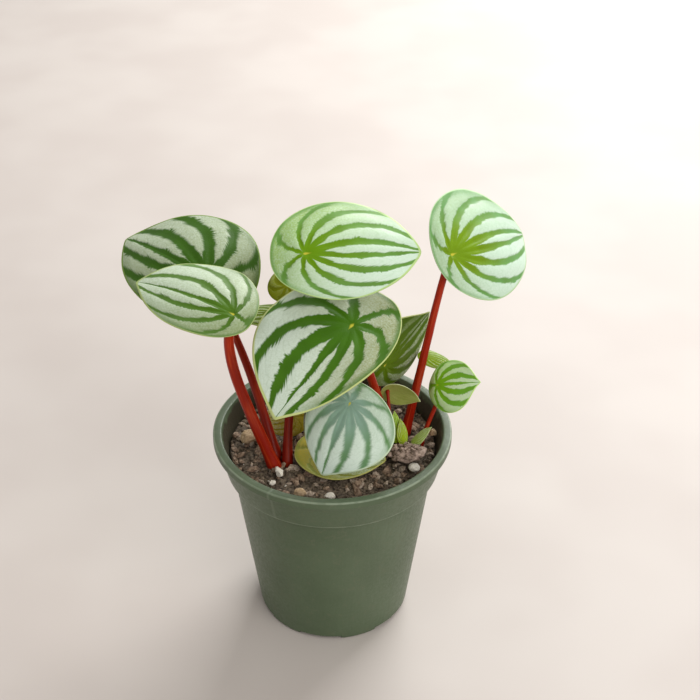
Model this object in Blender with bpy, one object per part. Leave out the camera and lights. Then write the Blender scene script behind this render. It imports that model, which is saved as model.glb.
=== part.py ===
"""A watermelon peperomia growing in a green plastic nursery pot.

Metres, +Z up. The origin is the centre of the pot's flat base, which stands on z = 0.
"""
import math

import bmesh
import bpy
from mathutils import Matrix, Vector
from mathutils.noise import noise

MM = 0.001
GAP = 0.3 * MM            # clearance between pieces that touch

# ---- driving sizes of the pot, millimetres -------------------------------------------
RIM_RADIUS = 51.0
RIM_INNER_RADIUS = 47.4
POT_HEIGHT = 92.0
LIP_DROP = 3.6            # how far the rolled lip hangs down outside
COLLAR_DROP = 17.0        # from the rim down to the step under the collar
COLLAR_TOP_RADIUS = 49.2
COLLAR_FOOT_RADIUS = 46.0
BODY_TOP_RADIUS = 43.6
BASE_RADIUS = 33.4
WALL = 1.2
FLOOR = 2.0
FOOT_NOTCHES = 6          # shallow gaps under the foot that let water run out
NOTCH_WIDTH = 19.0
NOTCH_HEIGHT = 1.6
NOTCH_INNER_RADIUS = 27.0
DRAIN_WIDTH = 7.0         # one slot through the floor behind each notch
DRAIN_INNER_RADIUS = 25.0
DRAIN_OUTER_RADIUS = 31.0
FIRST_NOTCH_ANGLE = -100.0
FLAT_BASE_RADIUS = 24.5
ROUNDING = 0.9            # the small chamfers of the foot, the lip and the mouth

# ---- driving sizes of the soil and the leaves, millimetres ---------------------------
SOIL_TOP = 83.0
SOIL_BUMP = 1.1
SOIL_LUMP = 14.0          # across a broad lump of the soil, and across a fine one
SOIL_CRUMB = 6.0
SOIL_EDGE_DIP = 1.5       # the soil sags this much where it meets the pot
BLADE_THICKNESS = 0.9
SMALL_BLADE_THICKNESS = 0.6
SMALL_BLADE_LENGTH = 20.0
DRIP_TIP = 2.0            # the little drawn-out point of a full-sized blade
DRIP_SPREAD = 0.3         # how far round the edge the point spreads, radians
FULL_LENGTH = 40.0        # a blade this long or longer has the whole point
CROWN_HEIGHT = 4.0
GRAIN_LUMPINESS = 0.18

# ---- colours --------------------------------------------------------------------------
POT_GREEN = (0.075, 0.115, 0.070)
PEAT_BROWN = (0.075, 0.050, 0.035)
STEM_RED = (0.300, 0.030, 0.015)
PALE_STONE = (0.620, 0.560, 0.460)
TAN_BARK = (0.330, 0.240, 0.160)

# A blade: where its stalk joins it (x, y, z), its length and width, how far back along the
# blade the stalk joins, how round the blade is towards its tip (0 round, 1 pointed), how
# unequal its halves are, the drop of its tip, back, left and right edges, the heading,
# nose-down pitch and roll of the blade at the stalk, in degrees, and its overall colour.
BLADES = {
    "blade_top_centre": dict(
        at=(-10.3, 0.0, 177.3), length=58.6, width=45.0, back=0.24, point=0.14, uneven=0.14,
        drops=(12.0, 3.0, 9.0, 4.5), turn=(5, -6, 36), tint=(0.27, 0.43, 0.08)),
    "blade_front": dict(
        at=(8.4, -18.0, 155.3), length=70.0, width=55.5, back=0.32, point=0.43, uneven=-0.29,
        drops=(8.6, 2.0, 1.2, 9.0), turn=(233, 13, -13), tint=(0.16, 0.28, 0.08)),
    "blade_low_front": dict(
        at=(7.4, -22.0, 120.6), length=38.8, width=38.4, back=0.25, point=0.26, uneven=0.10,
        drops=(9.6, 2.8, 9.6, 5.4), turn=(230, 44, -13), tint=(0.28, 0.35, 0.25)),
    "blade_left": dict(
        at=(-38.2, -14.0, 157.8), length=51.4, width=39.5, back=0.15, point=0.25, uneven=-0.22,
        drops=(11.3, 2.0, 2.4, 7.0), turn=(155, -16, -17), tint=(0.26, 0.38, 0.14)),
    "blade_back_left": dict(
        at=(-53.8, 32.0, 146.9), length=72.7, width=55.0, back=0.26, point=0.31, uneven=-0.16,
        drops=(17.2, 8.5, 3.0, 8.0), turn=(141, -12, -26), tint=(0.16, 0.24, 0.08)),
    "blade_right": dict(
        at=(48.7, 12.0, 169.9), length=60.8, width=49.4, back=0.12, point=0.35, uneven=0.05,
        drops=(24.0, 2.0, 5.0, 5.0), turn=(35, -1, 47), tint=(0.33, 0.48, 0.12)),
    "blade_small_right": dict(
        at=(44.3, 4.0, 111.3), length=25.6, width=22.6, back=0.24, point=0.47, uneven=0.0,
        drops=(2.0, 2.2, 3.5, 5.2), turn=(-33, -26, 49), tint=(0.37, 0.60, 0.22)),
    "blade_inner_right": dict(
        at=(22.5, 16.0, 112.8), length=38.0, width=28.6, back=0.24, point=0.68, uneven=0.03,
        drops=(0.5, 2.5, 2.6, 3.5), turn=(38, -35, 78), tint=(0.16, 0.20, 0.09)),
    "blade_young_right": dict(
        at=(23.4, 4.2, 108.6), length=17.0, width=12.0, back=0.16, point=0.50, uneven=0.0,
        drops=(1.6, 0.8, 1.2, 1.2), turn=(5, 20, -78), tint=(0.32, 0.32, 0.07)),
    "blade_inner_back": dict(
        at=(-19.5, 36.0, 141.0), length=26.0, width=22.0, back=0.30, point=0.45, uneven=0.0,
        drops=(4.0, 1.5, 3.0, 3.0), turn=(60, -30, 0), tint=(0.22, 0.22, 0.02)),
    "blade_inner_left": dict(
        at=(-23.0, 24.0, 134.5), length=28.0, width=15.0, back=0.30, point=0.50, uneven=0.0,
        drops=(3.0, 1.0, 1.5, 1.5), turn=(178, -4, -8), tint=(0.18, 0.28, 0.08)),
    "blade_far_right": dict(
        at=(40.4, 21.5, 114.4), length=17.0, width=9.0, back=0.22, point=0.50, uneven=0.0,
        drops=(1.5, 0.8, 0.8, 0.8), turn=(-12, 14, 15), tint=(0.30, 0.36, 0.05)),
    "blade_under_front": dict(
        at=(1.0, -3.0, 112.0), length=30.0, width=24.0, back=0.28, point=0.45, uneven=0.0,
        drops=(3.5, 1.5, 3.0, 3.0), turn=(215, 42, -10), tint=(0.09, 0.16, 0.07)),
    "blade_old": dict(
        at=(-1.5, -12.5, 90.3), length=37.0, width=31.0, back=0.39, point=0.15, uneven=0.0,
        drops=(2.8, 2.0, 2.5, 2.5), turn=(352, 1, 5), tint=(0.42, 0.34, 0.09)),
    "blade_old_small": dict(
        at=(-17.0, 7.0, 92.2), length=19.5, width=16.0, back=0.34, point=0.30, uneven=0.0,
        drops=(1.5, 0.8, 1.2, 1.2), turn=(190, 4, -48), tint=(0.30, 0.27, 0.04)),
    "blade_sprout_a": dict(
        at=(27.2, -1.9, 87.3), length=14.0, width=6.0, back=0.15, point=0.60, uneven=0.0,
        drops=(0.8, 0.2, 0.8, 0.8), turn=(100, -74, 0), tint=(0.33, 0.50, 0.04)),
    "blade_sprout_b": dict(
        at=(30.4, -3.4, 86.8), length=11.5, width=5.0, back=0.15, point=0.60, uneven=0.0,
        drops=(0.8, 0.2, 0.7, 0.7), turn=(110, -72, 0), tint=(0.38, 0.48, 0.06)),
    "blade_sprout_c": dict(
        at=(34.4, -4.0, 87.0), length=12.0, width=6.0, back=0.15, point=0.50, uneven=0.0,
        drops=(1.4, 0.2, 0.8, 0.8), turn=(5, -52, 10), tint=(0.32, 0.45, 0.10)),
}

# A stalk: the blade it carries, where it leaves the soil (x, y), the way it leaves it, the
# way it meets the blade, its foot and head radii, and how far it keeps those two directions.
STALKS = {
    "stalk_top_centre": dict(
        blade="blade_top_centre", foot=(-19.0, -13.0), lean=(0.02, 0.55, 1),
        meet=(-0.04, -0.70, 0.75), radii=(2.0, 1.5), reach=(44, 32)),
    "stalk_front": dict(
        blade="blade_front", foot=(25.0, 4.6), lean=(-0.26, -0.15, 1),
        meet=(-0.28, -0.30, 1), radii=(2.2, 1.5), reach=(34, 20)),
    "stalk_low_front": dict(
        blade="blade_low_front", foot=(23.0, -1.8), lean=(-0.50, -0.30, 1),
        meet=(-0.30, -0.60, 0.70), radii=(1.3, 1.0), reach=(12, 10)),
    "stalk_left": dict(
        blade="blade_left", foot=(-24.6, -16.5), lean=(-0.36, 0.12, 1),
        meet=(0.37, -0.35, 0.92), radii=(2.6, 2.0), reach=(30, 24)),
    "stalk_back_left": dict(
        blade="blade_back_left", foot=(-24.0, -9.5), lean=(-0.26, 0.30, 1),
        meet=(-0.50, 0.05, 1), radii=(2.3, 1.4), reach=(28, 26)),
    "stalk_right": dict(
        blade="blade_right", foot=(31.5, 7.0), lean=(0.21, 0.05, 1),
        meet=(0.25, 0.02, 1), radii=(2.1, 1.4), reach=(30, 26)),
    "stalk_small_right": dict(
        blade="blade_small_right", foot=(38.3, -1.0), lean=(0.15, 0.10, 1),
        meet=(-0.25, -0.25, 0.93), radii=(1.0, 0.8), reach=(9, 8)),
    "stalk_inner_right": dict(
        blade="blade_inner_right", foot=(22.0, 16.0), lean=(-0.25, 0.45, 1),
        meet=(0.50, -0.70, 0.55), radii=(1.4, 1.0), reach=(9, 8)),
    "stalk_young_right": dict(
        blade="blade_young_right", foot=(25.0, -6.4), lean=(-0.05, 0.15, 1),
        meet=(-0.10, 0.75, 0.75), radii=(0.9, 0.7), reach=(7, 6)),
    "stalk_inner_back": dict(
        blade="blade_inner_back", foot=(-8.0, 7.5), lean=(-0.05, 0.35, 1),
        meet=(-0.10, 0.30, 1), radii=(1.6, 1.1), reach=(24, 18)),
    "stalk_inner_left": dict(
        blade="blade_inner_left", foot=(-17.5, 17.5), lean=(-0.05, 0.10, 1),
        meet=(-0.25, 0.15, 1), radii=(1.4, 1.0), reach=(20, 14)),
    "stalk_far_right": dict(
        blade="blade_far_right", foot=(31.8, 13.2), lean=(0.25, 0.35, 1),
        meet=(0.30, 0.40, 1), radii=(1.0, 0.8), reach=(9, 7)),
    "stalk_under_front": dict(
        blade="blade_under_front", foot=(-2.0, 9.0), lean=(0.05, -0.20, 1),
        meet=(-0.20, -0.50, 0.85), radii=(1.2, 0.9), reach=(9, 8)),
}

# The two short crowns that the stalks grow from: centre (x, y) and radius.
CROWNS = {"crown_left": (-19.3, -7.6, 1.7), "crown_right": (28.2, 2.0, 1.8)}

# Loose white and tan grains on top of the soil: centre (x, y), half-lengths (a, b, c), turn.
GRAINS = {
    "grain_tan_left": (-35.6, 0.2, 4.0, 3.4, 3.0, 20),
    "grain_white_stem": (-22.0, -22.5, 1.6, 2.9, 1.8, -25),
    "grain_small_front": (-24.5, -29.0, 1.7, 1.3, 1.2, 40),
    "grain_tan_front": (-13.0, -36.0, 2.6, 1.9, 1.7, 10),
    "grain_white_front": (-0.7, -38.0, 2.4, 1.7, 1.5, -10),
    "grain_white_right": (34.6, -19.4, 2.6, 1.8, 1.6, -40),
    "grain_cream_right": (43.2, 4.5, 1.5, 2.1, 1.8, 15),
    "grain_bark_right": (31.8, -12.2, 8.6, 4.6, 3.4, 18),
}

POT_SEGMENTS = 48
SOIL_RINGS = 7
BLADE_SPOKES = 26
BLADE_RINGS = 4
SMALL_BLADE_SPOKES = 18
SMALL_BLADE_RINGS = 3
STALK_STEPS = 9
STALK_SIDES = 8


# ---- helpers --------------------------------------------------------------------------
def clear_scene():
    """Remove whatever the file holds before the part is made."""
    for thing in list(bpy.data.objects):
        bpy.data.objects.remove(thing, do_unlink=True)


def make_material(name, colour, roughness):
    """A plain Principled material with one colour and one roughness."""
    material = bpy.data.materials.new(name)
    material.use_nodes = True
    shader = material.node_tree.nodes["Principled BSDF"]
    shader.inputs["Base Color"].default_value = (*colour, 1.0)
    shader.inputs["Roughness"].default_value = roughness
    shader.inputs["Metallic"].default_value = 0.0
    return material


def finish_object(name, shell, material, smooth_angle=40.0):
    """Turn a bmesh in millimetres into a smooth-shaded object in metres."""
    bmesh.ops.scale(shell, vec=(MM, MM, MM), verts=shell.verts)
    bmesh.ops.recalc_face_normals(shell, faces=shell.faces)
    mesh = bpy.data.meshes.new(name)
    shell.to_mesh(mesh)
    shell.free()
    mesh.shade_smooth()
    mesh.set_sharp_from_angle(angle=math.radians(smooth_angle))
    mesh.materials.append(material)
    thing = bpy.data.objects.new(name, mesh)
    bpy.context.scene.collection.objects.link(thing)
    return thing


def join_rings(shell, lower, upper):
    """Bridge two neighbouring rings; a ring of one vertex is a pole."""
    count = max(len(lower), len(upper))
    for i in range(count):
        j = (i + 1) % count
        if len(lower) == 1:
            shell.faces.new((lower[0], upper[j], upper[i]))
        elif len(upper) == 1:
            shell.faces.new((lower[i], lower[j], upper[0]))
        else:
            shell.faces.new((lower[i], lower[j], upper[j], upper[i]))


def turned(profile, segments):
    """A solid of revolution from (radius, height) points that start and end on the axis."""
    shell = bmesh.new()
    rings = []
    for radius, height in profile:
        if radius == 0.0:
            rings.append([shell.verts.new((0.0, 0.0, height))])
            continue
        ring = []
        for k in range(segments):
            angle = 2 * math.pi * k / segments
            ring.append(shell.verts.new((radius * math.cos(angle), radius * math.sin(angle), height)))
        rings.append(ring)
    for lower, upper in zip(rings, rings[1:]):
        join_rings(shell, lower, upper)
    return shell


def add_box(shell, centre, size, turn):
    """Add a box to a bmesh, turned about the Z axis of the whole part."""
    place = Matrix.Rotation(turn, 4, "Z") @ Matrix.Translation(centre)
    place = place @ Matrix.Diagonal((*size, 1.0))
    bmesh.ops.create_cube(shell, size=1.0, matrix=place)


# ---- the pot --------------------------------------------------------------------------
def inner_radius(height):
    """Radius of the pot's inside at a height, down its tapered body."""
    share = (height - FLOOR) / (POT_HEIGHT - COLLAR_DROP - FLOOR)
    if share <= 1.0:
        return BASE_RADIUS - WALL + share * (BODY_TOP_RADIUS - BASE_RADIUS)
    collar_share = (height - POT_HEIGHT + COLLAR_DROP) / COLLAR_DROP
    shoulder = BODY_TOP_RADIUS - WALL
    return shoulder + collar_share * (RIM_INNER_RADIUS - shoulder)


def pot_profile():
    """The pot's section: up the outside, over the rolled lip and down the inside."""
    step = POT_HEIGHT - COLLAR_DROP
    lip_foot = POT_HEIGHT - LIP_DROP
    return [
        (0.0, 0.0),
        (FLAT_BASE_RADIUS, 0.0),
        (BASE_RADIUS - ROUNDING, 0.0),
        (BASE_RADIUS, ROUNDING),
        (BODY_TOP_RADIUS, step - ROUNDING),
        (COLLAR_FOOT_RADIUS, step),
        (COLLAR_TOP_RADIUS, lip_foot),
        (RIM_RADIUS - ROUNDING, lip_foot),
        (RIM_RADIUS, lip_foot + ROUNDING),
        (RIM_RADIUS, POT_HEIGHT - ROUNDING),
        (RIM_RADIUS - ROUNDING, POT_HEIGHT),
        (RIM_INNER_RADIUS + ROUNDING, POT_HEIGHT),
        (RIM_INNER_RADIUS, POT_HEIGHT - ROUNDING),
        (inner_radius(step), step),
        (inner_radius(FLOOR), FLOOR),
        (0.0, FLOOR),
    ]


def ring_of_boxes(name, span, width, height):
    """A wire-drawn cutter: one box per foot notch, from below the base up to a height."""
    inner, outer = span
    below = FLOOR
    shell = bmesh.new()
    for k in range(FOOT_NOTCHES):
        turn = math.radians(FIRST_NOTCH_ANGLE + 360.0 * k / FOOT_NOTCHES)
        centre = ((inner + outer) / 2, 0.0, (height - below) / 2)
        add_box(shell, centre, (outer - inner, width, height + below), turn)
    cutter = finish_object(name, shell, make_material(name, POT_GREEN, 0.5))
    cutter.hide_render = True
    cutter.display_type = "WIRE"
    return cutter


def make_pot():
    """A thin tapered pot with a collar, a rolled lip, foot notches and drain slots."""
    material = make_material("pot", POT_GREEN, 0.42)
    pot = finish_object("pot", turned(pot_profile(), POT_SEGMENTS), material)
    notch_span = (NOTCH_INNER_RADIUS, RIM_RADIUS)
    drain_span = (DRAIN_INNER_RADIUS, DRAIN_OUTER_RADIUS)
    cutters = (
        ring_of_boxes("notch_cutter", notch_span, NOTCH_WIDTH, NOTCH_HEIGHT),
        ring_of_boxes("drain_cutter", drain_span, DRAIN_WIDTH, 2 * FLOOR),
    )
    for cutter in cutters:
        cut = pot.modifiers.new(cutter.name, "BOOLEAN")
        cut.operation = "DIFFERENCE"
        cut.solver = "EXACT"
        cut.object = cutter
    return pot


# ---- the soil -------------------------------------------------------------------------
def soil_height(x, y):
    """Height of the loose soil surface, in millimetres."""
    coarse = noise(Vector((x / SOIL_LUMP, y / SOIL_LUMP, 3.0)))
    fine = noise(Vector((x / SOIL_CRUMB, y / SOIL_CRUMB, 9.0)))
    return SOIL_TOP + SOIL_BUMP * (coarse + 0.5 * fine)


def resting_height():
    """Height, in millimetres, that clears the highest crumb of the soil."""
    return SOIL_TOP + SOIL_BUMP + 2 * GAP / MM


def make_soil():
    """A plug of peat that fills the pot up to just under the lip."""
    clearance = GAP / MM
    floor = FLOOR + clearance
    step = POT_HEIGHT - COLLAR_DROP
    edge = inner_radius(SOIL_TOP - SOIL_EDGE_DIP) - clearance
    profile = [
        (0.0, floor),
        (inner_radius(FLOOR) - 2 * clearance, floor),
        (inner_radius(step) - clearance, step),
        (edge, SOIL_TOP - SOIL_EDGE_DIP),
    ]
    for ring in range(SOIL_RINGS - 1, 0, -1):
        profile.append((edge * ring / SOIL_RINGS, SOIL_TOP))
    profile.append((0.0, SOIL_TOP))
    plug = turned(profile, POT_SEGMENTS)
    for vertex in plug.verts:
        if vertex.co.z == SOIL_TOP:
            vertex.co.z = soil_height(vertex.co.x, vertex.co.y)
    return finish_object("soil", plug, make_material("soil", PEAT_BROWN, 0.95))


# ---- the blades -----------------------------------------------------------------------
def blade_turn(blade):
    """The rotation that lays a blade at its heading, pitch and roll."""
    heading, pitch, roll = (math.radians(angle) for angle in blade["turn"])
    return Matrix.Rotation(heading, 3, "Z") @ Matrix.Rotation(pitch, 3, "Y") @ Matrix.Rotation(roll, 3, "X")


def is_small(blade):
    """Whether a blade is one of the thin young or fallen ones."""
    return blade["length"] <= SMALL_BLADE_LENGTH


def blade_thickness(blade):
    """Thickness of a blade, in millimetres."""
    return SMALL_BLADE_THICKNESS if is_small(blade) else BLADE_THICKNESS


def blade_edge(blade, angle):
    """Flat outline of a blade, its stalk at the origin and its tip along +X."""
    length = blade["length"]
    back = length * blade["back"]
    front = length - back
    reach = (front - back) / 2 + length / 2 * math.cos(angle)
    from_tip = min(angle, 2 * math.pi - angle)
    reach += DRIP_TIP * min(1.0, length / FULL_LENGTH) * math.exp(-(from_tip / DRIP_SPREAD) ** 2)
    swell = math.sin(angle) * abs(math.sin(angle / 2)) ** blade["point"]
    widest = 2 * math.atan(math.sqrt(1 + blade["point"]))
    swell /= math.sin(widest) * math.sin(widest / 2) ** blade["point"]
    side = 1 + blade["uneven"] if swell > 0 else 1 - blade["uneven"]
    return Vector((reach, swell * side * blade["width"] / 2, 0.0))


def blade_drop(blade, spot):
    """How far the domed blade has fallen below its stalk at a flat spot."""
    back = blade["length"] * blade["back"]
    front = blade["length"] - back
    tip_drop, back_drop, left_drop, right_drop = blade["drops"]
    if spot.x > 0:
        along = tip_drop * (spot.x / front) ** 2
    else:
        along = back_drop * (spot.x / back) ** 2
    half = blade["width"] / 2
    if spot.y > 0:
        across = left_drop * (spot.y / (half * (1 + blade["uneven"]))) ** 2
    else:
        across = right_drop * (spot.y / (half * (1 - blade["uneven"]))) ** 2
    return along + across


def make_blade(name, blade):
    """A domed leaf blade, closed between an upper and a lower face."""
    spokes = SMALL_BLADE_SPOKES if is_small(blade) else BLADE_SPOKES
    rings = SMALL_BLADE_RINGS if is_small(blade) else BLADE_RINGS
    thickness = blade_thickness(blade)
    turn = blade_turn(blade)
    seat = Vector(blade["at"])
    shell = bmesh.new()
    faces = []
    for below in (0.0, thickness):
        levels = [[shell.verts.new(seat + turn @ Vector((0, 0, -below)))]]
        for ring in range(1, rings + 1):
            level = []
            for k in range(spokes):
                flat = blade_edge(blade, 2 * math.pi * k / spokes) * (ring / rings)
                flat.z = -blade_drop(blade, flat) - below
                level.append(shell.verts.new(seat + turn @ flat))
            levels.append(level)
        faces.append(levels)
    for levels in faces:
        for inner, outer in zip(levels, levels[1:]):
            join_rings(shell, inner, outer)
    join_rings(shell, faces[0][-1], faces[1][-1])
    return finish_object(name, shell, make_material(name, blade["tint"], 0.40))


# ---- the stalks and crowns ------------------------------------------------------------
def bezier(points, share):
    """A point on a cubic curve."""
    a, b, c, d = points
    rest = 1.0 - share
    return a * rest ** 3 + 3 * b * share * rest ** 2 + 3 * c * share ** 2 * rest + d * share ** 3


def stalk_curve(stalk):
    """The stalk's centre line: out of the soil, then square up to the blade's underside."""
    blade = BLADES[stalk["blade"]]
    up = blade_turn(blade) @ Vector((0, 0, 1))
    x, y = stalk["foot"]
    foot = Vector((x, y, resting_height()))
    head = Vector(blade["at"]) - up * (blade_thickness(blade) + 1.5 * GAP / MM)
    first, last = stalk["reach"]
    lean = Vector(stalk["lean"]).normalized()
    meet = Vector(stalk["meet"]).normalized()
    return (foot, foot + lean * first, head - meet * last, head)


def make_stalk(name, stalk):
    """A round, slightly tapered leaf stalk along its curve."""
    curve = stalk_curve(stalk)
    up = blade_turn(BLADES[stalk["blade"]]) @ Vector((0, 0, 1))
    foot_radius, head_radius = stalk["radii"]
    shell = bmesh.new()
    direction = (curve[1] - curve[0]).normalized()
    side = direction.orthogonal().normalized()
    rings = []
    for step in range(STALK_STEPS + 1):
        share = step / STALK_STEPS
        if step == STALK_STEPS:
            ahead = curve[3] - curve[2]
        else:
            ahead = bezier(curve, share + 0.01) - bezier(curve, share)
        ahead.normalize()
        side = (side - ahead * side.dot(ahead)).normalized()
        across = ahead.cross(side)
        radius = foot_radius + (head_radius - foot_radius) * share ** 0.7
        centre = bezier(curve, share)
        ring = []
        for k in range(STALK_SIDES):
            angle = 2 * math.pi * k / STALK_SIDES
            spot = centre + (side * math.cos(angle) + across * math.sin(angle)) * radius
            if step == 0:
                spot -= ahead * (spot.z - centre.z) / ahead.z
            if step == STALK_STEPS:
                spot -= ahead * up.dot(spot - centre) / up.dot(ahead)
            ring.append(shell.verts.new(spot))
        rings.append(ring)
    for lower, upper in zip(rings, rings[1:]):
        join_rings(shell, lower, upper)
    shell.faces.new(list(reversed(rings[0])))
    shell.faces.new(rings[-1])
    return finish_object(name, shell, make_material(name, STEM_RED, 0.40), smooth_angle=60.0)


def make_crown(name, crown):
    """The short rounded stem that a rosette of stalks grows from."""
    x, y, radius = crown
    profile = [(0.0, 0.0), (radius, 0.0), (radius, CROWN_HEIGHT * 0.6),
               (radius * 0.6, CROWN_HEIGHT), (0.0, CROWN_HEIGHT)]
    shell = turned(profile, STALK_SIDES)
    bmesh.ops.translate(shell, vec=(x, y, resting_height()), verts=shell.verts)
    return finish_object(name, shell, make_material(name, STEM_RED, 0.45), smooth_angle=60.0)


def make_grain(name, grain):
    """A loose angular grain lying on the soil."""
    x, y, a, b, c, turn = grain
    shell = bmesh.new()
    bmesh.ops.create_icosphere(shell, subdivisions=2, radius=1.0)
    for vertex in shell.verts:
        vertex.co *= 1.0 + GRAIN_LUMPINESS * noise(vertex.co * 1.3 + Vector((x, y, 0.0)))
    place = Matrix.Translation((x, y, resting_height() + c))
    place = place @ Matrix.Rotation(math.radians(turn), 4, "Z")
    place = place @ Matrix.Diagonal((a, b, c * 0.85, 1.0))
    bmesh.ops.transform(shell, matrix=place, verts=shell.verts)
    colour = PALE_STONE if "white" in name or "cream" in name else TAN_BARK
    return finish_object(name, shell, make_material(name, colour, 0.90))


# ---- put the plant together -----------------------------------------------------------
def main():
    clear_scene()
    make_pot()
    make_soil()
    for name, crown in CROWNS.items():
        make_crown(name, crown)
    for name, blade in BLADES.items():
        make_blade(name, blade)
    for name, stalk in STALKS.items():
        make_stalk(name, stalk)
    for name, grain in GRAINS.items():
        make_grain(name, grain)


main()
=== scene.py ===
# %% [markdown]
# A watermelon peperomia is a small house plant with thick, round leaves. Each leaf is silver
# with green bands that spread from the point where its red stalk joins it from below. This
# plant grows in peat and bark, in a thin green plastic nursery pot. The measured model gives
# the size and place of every piece, and this script gives each one its fine surface.

# %% Load the measured model
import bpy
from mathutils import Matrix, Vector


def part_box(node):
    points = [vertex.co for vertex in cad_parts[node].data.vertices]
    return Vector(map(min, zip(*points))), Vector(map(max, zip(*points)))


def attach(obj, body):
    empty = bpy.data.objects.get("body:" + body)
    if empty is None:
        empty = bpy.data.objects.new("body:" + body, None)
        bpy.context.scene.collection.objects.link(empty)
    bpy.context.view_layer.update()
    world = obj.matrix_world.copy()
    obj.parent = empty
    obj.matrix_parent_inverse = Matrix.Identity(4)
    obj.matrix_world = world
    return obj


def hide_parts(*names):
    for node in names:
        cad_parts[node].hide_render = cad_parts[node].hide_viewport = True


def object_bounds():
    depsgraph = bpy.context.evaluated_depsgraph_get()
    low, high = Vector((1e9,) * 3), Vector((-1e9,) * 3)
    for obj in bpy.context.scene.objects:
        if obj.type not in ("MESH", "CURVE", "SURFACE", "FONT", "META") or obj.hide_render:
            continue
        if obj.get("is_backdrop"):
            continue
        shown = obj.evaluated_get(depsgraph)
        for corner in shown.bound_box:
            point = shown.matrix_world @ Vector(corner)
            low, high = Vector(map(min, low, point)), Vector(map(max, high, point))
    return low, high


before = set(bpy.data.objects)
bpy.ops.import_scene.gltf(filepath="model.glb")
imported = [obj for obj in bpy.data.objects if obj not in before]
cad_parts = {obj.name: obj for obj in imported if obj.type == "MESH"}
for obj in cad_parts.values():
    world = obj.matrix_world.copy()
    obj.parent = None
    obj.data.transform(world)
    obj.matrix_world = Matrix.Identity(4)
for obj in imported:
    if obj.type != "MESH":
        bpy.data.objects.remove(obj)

measured_low, measured_high = [[float(v) for v in corner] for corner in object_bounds()]
print("measured box, metres:", measured_low, measured_high)

# %% Tools and units
import math
import random

import bmesh
import bpy
from mathutils import Matrix, Vector
from mathutils.noise import noise

MM = 0.001
scene = bpy.context.scene


def put_in_scene(name, data):
    """An object with its data, linked to the scene."""
    thing = bpy.data.objects.new(name, data)
    scene.collection.objects.link(thing)
    return thing


def from_shell(name, shell, materials=()):
    """An object made of the faces of a finished shell."""
    mesh = bpy.data.meshes.new(name)
    shell.to_mesh(mesh)
    shell.free()
    for material in materials:
        mesh.materials.append(material)
    return put_in_scene(name, mesh)


def say(piece):
    """Prints what was made: its name, its face count and its size in millimetres."""
    size = [round(side / MM, 1) for side in piece.dimensions]
    print(piece.name, len(piece.data.polygons), "faces,", size, "mm")


# %% [markdown]
# The view is from the front, a little above the plant, as a person standing at a table sees
# it. A long lens from half a metre away keeps the round rim of the pot from looking stretched.
# The floor is plain and pale, so that nothing on it competes with the leaves.

# %% Camera
camera = put_in_scene("camera", bpy.data.cameras.new("camera"))
camera.location = (0.0075, -0.481, 0.450)
camera.rotation_euler = (math.radians(56.5), 0.0, 0.0)
camera.data.sensor_width = 36.0
camera.data.lens = 72.0
scene.camera = camera
scene.view_settings.view_transform = "Standard"
print("camera at", tuple(camera.location))

# %% [markdown]
# The light is that of a room with one large window behind the plant, to the right. Its low,
# broad light slides off the leaves that lie flat and gives them a pale sheen. A weaker, broad
# light from the front left opens the shadows, and the pale surroundings do the rest.

# %% Lights
TARGET = Vector((0.0, 0.0, 0.12))


def soft_light(name, at, size, power, colour):
    """A large square lamp that faces the plant."""
    lamp = bpy.data.lights.new(name, "AREA")
    lamp.shape = "SQUARE"
    lamp.size = size
    lamp.energy = power
    lamp.color = colour
    thing = put_in_scene(name, lamp)
    thing.location = at
    thing.rotation_euler = (TARGET - Vector(at)).to_track_quat("-Z", "Y").to_euler()
    print(name, power, "W")


soft_light("window_light", (0.50, 1.00, 0.85), 0.9, 20.0, (0.99, 1.0, 0.99))
soft_light("front_light", (0.60, -0.80, 0.75), 0.9, 7.0, (1.0, 0.98, 0.95))
world = bpy.data.worlds.new("room")
scene.world = world
world.use_nodes = True
pale_room = world.node_tree.nodes["Background"].inputs
pale_room["Color"].default_value = (1.0, 0.985, 0.955, 1.0)
pale_room["Strength"].default_value = 0.55

# %% [markdown]
# A material in Blender is a small graph of nodes. The helpers below keep the graphs short to
# write: one places a node and fills its inputs, some do a sum, one mixes two colours, one
# turns a value into a soft step between two limits, and one gives smooth noise. A socket knows
# the graph that it belongs to, so most helpers are only told what to work on.

# %% Helpers for node graphs
def graph_of(*values):
    """The graph of the first socket among some sockets and constants."""
    return next(value.id_data for value in values if isinstance(value, bpy.types.NodeSocket))


def feed(value, socket):
    """Links a socket to an input, or sets the input to a constant."""
    if isinstance(value, bpy.types.NodeSocket):
        socket.id_data.links.new(value, socket)
    elif isinstance(value, tuple) and len(value) == 3 and socket.type == "RGBA":
        socket.default_value = (*value, 1.0)
    else:
        socket.default_value = value


def place(tree, kind, settings=(), **inputs):
    """Adds a node, sets its options, and feeds its inputs by name."""
    node = tree.nodes.new(kind)
    for option, choice in dict(settings).items():
        setattr(node, option, choice)
    for name, value in inputs.items():
        feed(value, node.inputs[name.replace("_", " ")])
    return node


def calc(operation, *values):
    """One sum: POWER, DIVIDE and so on."""
    node = place(graph_of(*values), "ShaderNodeMath", {"operation": operation})
    for value, socket in zip(values, node.inputs):
        feed(value, socket)
    return node.outputs[0]


def times(first, *others):
    """The product of two or more values."""
    for other in others:
        first = calc("MULTIPLY", first, other)
    return first


def plus(first, *others):
    """The total of two or more values."""
    for other in others:
        first = calc("ADD", first, other)
    return first


def minus(first, second):
    """The first value less the second."""
    return calc("SUBTRACT", first, second)


def mix(share, first, second):
    """A blend of two colours: the first at 0, the second at 1."""
    node = place(graph_of(share, first, second), "ShaderNodeMix", {"data_type": "RGBA"})
    for value, socket in zip((share, first, second), (node.inputs[0], *node.inputs[6:8])):
        feed(value, socket)
    return node.outputs[2]


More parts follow.
